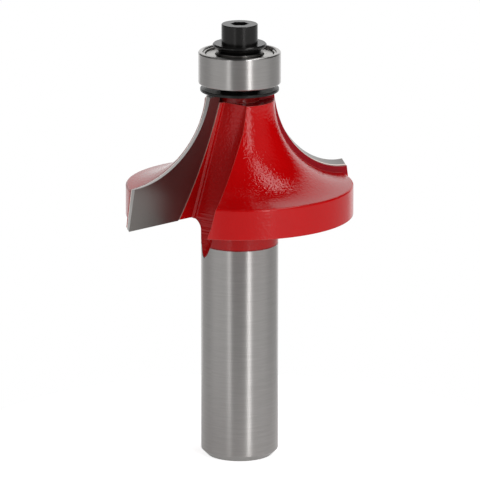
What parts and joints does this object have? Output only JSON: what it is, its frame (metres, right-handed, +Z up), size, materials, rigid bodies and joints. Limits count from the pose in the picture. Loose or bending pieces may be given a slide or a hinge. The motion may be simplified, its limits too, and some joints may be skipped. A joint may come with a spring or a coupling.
{
  "type": "router bit",
  "caption": "Two-flute roundover router bit with red coated body, carbide tips, round shank and a ball bearing guide at the nose.",
  "frame": {"origin": "centre of the shank's end face", "axes": "+Z up the tool's axis from the shank to the bearing, +X along the first cutting face"},
  "size_m": [0.0374, 0.0352, 0.0684],
  "materials": {
    "red_coating": "glossy coating on the body, with the shank ground bare",
    "carbide": "ground cemented carbide",
    "braze": "silver braze filler",
    "bearing_steel": "ground bearing steel",
    "polished_steel": "polished balls",
    "pressed_steel": "bright pressed shields and wire",
    "cage_nylon": "natural nylon",
    "black_oxide": "black oxide on steel"
  },
  "bodies": {
    "cutter": {"cutter_body": "red_coating", "carbide_tip_1": "carbide", "carbide_tip_2": "carbide", "braze_joint_1": "braze", "braze_joint_2": "braze", "dust_disc": "black_oxide", "bearing_inner_race": "bearing_steel", "clamp_washer": "black_oxide", "cap_screw": "black_oxide"},
    "guide_ring": {"bearing_outer_race": "bearing_steel", "shield_upper": "pressed_steel", "shield_lower": "pressed_steel", "snap_ring_upper": "pressed_steel", "snap_ring_lower": "pressed_steel"},
    "cage": {"ball_cage": "cage_nylon"},
    "ball_a": {"ball_1": "polished_steel"},
    "ball_b": {"ball_2": "polished_steel"},
    "ball_c": {"ball_3": "polished_steel"},
    "ball_d": {"ball_4": "polished_steel"},
    "ball_e": {"ball_5": "polished_steel"},
    "ball_f": {"ball_6": "polished_steel"},
    "ball_g": {"ball_7": "polished_steel"}
  },
  "joints": [
    {"name": "guide_spin", "type": "hinge", "parent": "cutter", "child": "guide_ring", "pos_m": [0, 0, 0.06169], "axis": [0, 0, 1], "continuous": true},
    {"name": "cage_spin", "type": "hinge", "parent": "cutter", "child": "cage", "pos_m": [0, 0, 0.06169], "axis": [0, 0, 1], "continuous": true},
    {"name": "ball_1_spin", "type": "hinge", "parent": "cage", "child": "ball_a", "pos_m": [0.00437, 0, 0.06169], "axis": [0, 0, 1], "continuous": true},
    {"name": "ball_2_spin", "type": "hinge", "parent": "cage", "child": "ball_b", "pos_m": [0.00272, 0.00341, 0.06169], "axis": [0, 0, 1], "continuous": true},
    {"name": "ball_3_spin", "type": "hinge", "parent": "cage", "child": "ball_c", "pos_m": [-0.00097, 0.00426, 0.06169], "axis": [0, 0, 1], "continuous": true},
    {"name": "ball_4_spin", "type": "hinge", "parent": "cage", "child": "ball_d", "pos_m": [-0.00393, 0.00189, 0.06169], "axis": [0, 0, 1], "continuous": true},
    {"name": "ball_5_spin", "type": "hinge", "parent": "cage", "child": "ball_e", "pos_m": [-0.00393, -0.00189, 0.06169], "axis": [0, 0, 1], "continuous": true},
    {"name": "ball_6_spin", "type": "hinge", "parent": "cage", "child": "ball_f", "pos_m": [-0.00097, -0.00426, 0.06169], "axis": [0, 0, 1], "continuous": true},
    {"name": "ball_7_spin", "type": "hinge", "parent": "cage", "child": "ball_g", "pos_m": [0.00272, -0.00341, 0.06169], "axis": [0, 0, 1], "continuous": true}
  ],
  "couplings": [
    {"joint": "cage_spin", "follows": "guide_spin", "ratio": 0.6364},
    {"joint": "ball_1_spin", "follows": "guide_spin", "ratio": 1.697},
    {"joint": "ball_2_spin", "follows": "guide_spin", "ratio": 1.697},
    {"joint": "ball_3_spin", "follows": "guide_spin", "ratio": 1.697},
    {"joint": "ball_4_spin", "follows": "guide_spin", "ratio": 1.697},
    {"joint": "ball_5_spin", "follows": "guide_spin", "ratio": 1.697},
    {"joint": "ball_6_spin", "follows": "guide_spin", "ratio": 1.697},
    {"joint": "ball_7_spin", "follows": "guide_spin", "ratio": 1.697}
  ]
}
